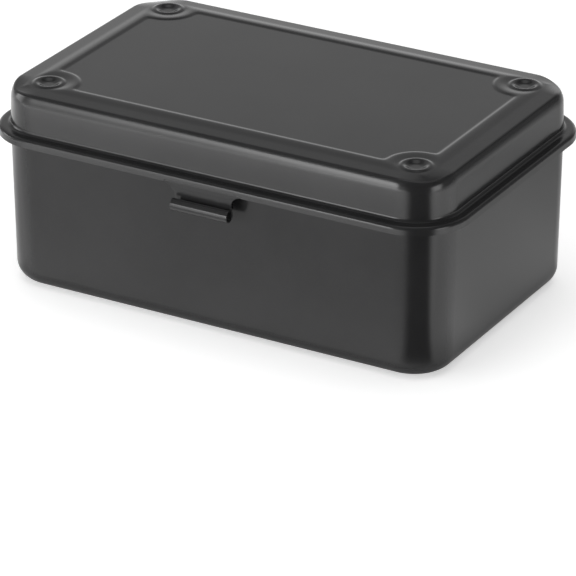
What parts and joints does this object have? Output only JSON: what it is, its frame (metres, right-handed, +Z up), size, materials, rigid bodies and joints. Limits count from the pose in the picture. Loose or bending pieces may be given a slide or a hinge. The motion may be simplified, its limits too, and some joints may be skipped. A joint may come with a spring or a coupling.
{
  "type": "hinged metal storage box",
  "caption": "Low rectangular pressed-steel storage box with rounded corners, a rolled rim, a hinged pan lid with a raised panel line and corner dimples, and a rolled lift tab on a front catch.",
  "frame": {"origin": "centre of the box's flat underside, under the middle of the body", "axes": "+X along the length towards the right as seen from the front, -Y towards the front with the lift tab, +Z up"},
  "size_m": [0.205, 0.1332, 0.0832],
  "materials": {
    "painted_steel": "satin black paint on thin pressed steel sheet",
    "hinge_wire": "steel wire painted black with the box"
  },
  "bodies": {
    "body": {"body_shell": "painted_steel", "body_catch": "painted_steel", "left_hinge_pin": "hinge_wire", "right_hinge_pin": "hinge_wire"},
    "lid": {"lid_shell": "painted_steel", "lift_tab": "painted_steel", "left_hinge_knuckle": "painted_steel", "right_hinge_knuckle": "painted_steel"}
  },
  "joints": [
    {"name": "lid_hinge", "type": "hinge", "parent": "body", "child": "lid", "pos_m": [0, 0.0612, 0.0632], "axis": [-1, 0, 0], "range_deg": [0, 123]}
  ]
}
